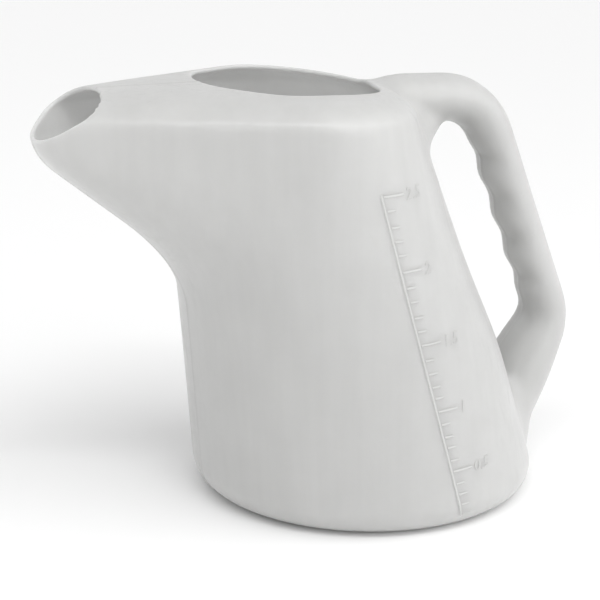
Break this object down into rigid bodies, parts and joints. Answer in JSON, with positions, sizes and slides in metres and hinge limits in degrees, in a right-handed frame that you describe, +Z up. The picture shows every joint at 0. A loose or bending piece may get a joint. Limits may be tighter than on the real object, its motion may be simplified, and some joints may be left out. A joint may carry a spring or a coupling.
{
  "type": "spouted measuring jug",
  "caption": "Natural white blow-moulded plastic measuring jug with a broad pouring spout, a wide filler opening in its flat top, a hollow grip with finger dips and a raised litre scale.",
  "frame": {"origin": "centre of the round standing face, at the level the jug stands on", "axes": "+Z up, the spout points along -X and the handle is at +X, the litre scale is on the -Y side"},
  "size_m": [0.256, 0.1614, 0.1905],
  "materials": {
    "natural_plastic": "satin"
  },
  "bodies": {
    "root": {"base": "natural_plastic", "side_wall": "natural_plastic", "deck": "natural_plastic", "spout": "natural_plastic", "handle": "natural_plastic", "litre_scale": "natural_plastic"}
  },
  "joints": []
}
